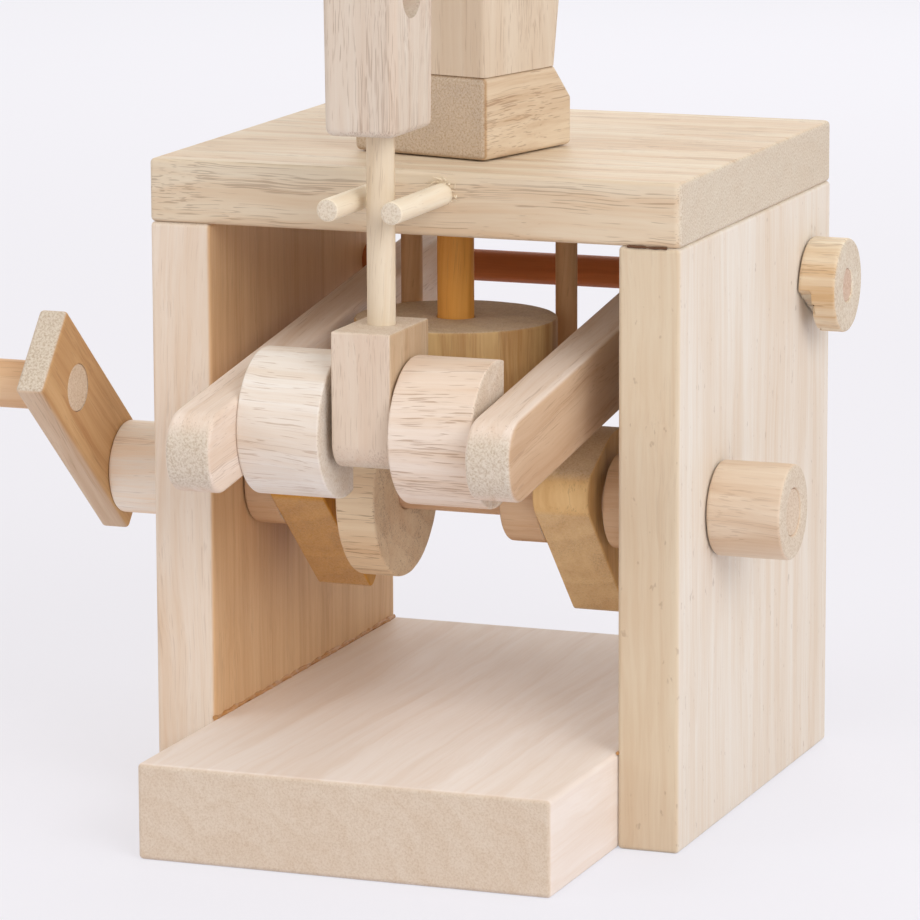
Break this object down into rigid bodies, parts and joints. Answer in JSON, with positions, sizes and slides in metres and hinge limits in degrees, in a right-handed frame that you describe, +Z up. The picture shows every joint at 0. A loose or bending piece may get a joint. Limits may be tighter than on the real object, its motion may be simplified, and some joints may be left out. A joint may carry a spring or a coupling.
{
  "type": "wooden crank automaton",
  "caption": "Open wooden box with a hand crank that turns a figure on top through a friction wheel and lifts a block in front through cams and levers.",
  "frame": {"origin": "middle of the base board's flat underside, on the surface that the object stands on", "axes": "+Z up, +Y to the back, +X to the right seen from the front, so the crank is at -X"},
  "size_m": [0.2039, 0.1549, 0.2617],
  "materials": {
    "board_wood": "sanded, unfinished",
    "block_wood": "sanded, unfinished",
    "dowel_wood": "smooth, unfinished"
  },
  "bodies": {
    "box": {"base_board": "board_wood", "left_panel": "board_wood", "right_panel": "board_wood", "top_board": "board_wood", "left_guide_peg": "dowel_wood", "right_guide_peg": "dowel_wood", "left_hanging_rod": "dowel_wood", "right_hanging_rod": "dowel_wood"},
    "crankshaft": {"crank_axle": "dowel_wood", "crank_arm": "board_wood", "crank_handle": "dowel_wood", "crank_hub": "block_wood", "left_collar": "block_wood", "left_cam": "block_wood", "friction_wheel": "block_wood", "cam_collar": "block_wood", "right_cam": "block_wood", "right_collar": "block_wood", "axle_cap": "block_wood"},
    "figure": {"upright_shaft": "dowel_wood", "friction_disc": "block_wood", "shoe_block": "block_wood", "figure_body": "block_wood", "neck_peg": "dowel_wood", "figure_head": "block_wood"},
    "lever_frame": {"left_lever": "board_wood", "right_lever": "board_wood", "rear_rod": "dowel_wood", "left_rod_cap": "block_wood", "right_rod_cap": "block_wood", "front_axle": "dowel_wood", "left_drum": "block_wood", "right_drum": "block_wood"},
    "lifter": {"swivel_block": "block_wood", "push_rod": "dowel_wood", "lifted_block": "block_wood"}
  },
  "joints": [
    {"name": "crank_turn", "type": "hinge", "parent": "box", "child": "crankshaft", "pos_m": [0, -0.006, 0.07], "axis": [1, 0, 0], "range_deg": [0, 148]},
    {"name": "figure_turn", "type": "hinge", "parent": "box", "child": "figure", "pos_m": [0, -0.006, 0.15], "axis": [0, 0, 1], "range_deg": [0, 185]},
    {"name": "lever_lift", "type": "hinge", "parent": "box", "child": "lever_frame", "pos_m": [0, 0.0595, 0.1086], "axis": [-1, 0, 0], "range_deg": [0, 11.4]},
    {"name": "block_swivel", "type": "hinge", "parent": "lever_frame", "child": "lifter", "pos_m": [0, -0.05, 0.0915], "axis": [1, 0, 0], "range_deg": [0, 11.4]}
  ],
  "couplings": [
    {"joint": "figure_turn", "follows": "crank_turn", "ratio": 1.25},
    {"joint": "lever_lift", "follows": "crank_turn", "ratio": 0.077},
    {"joint": "block_swivel", "follows": "crank_turn", "ratio": 0.077}
  ]
}
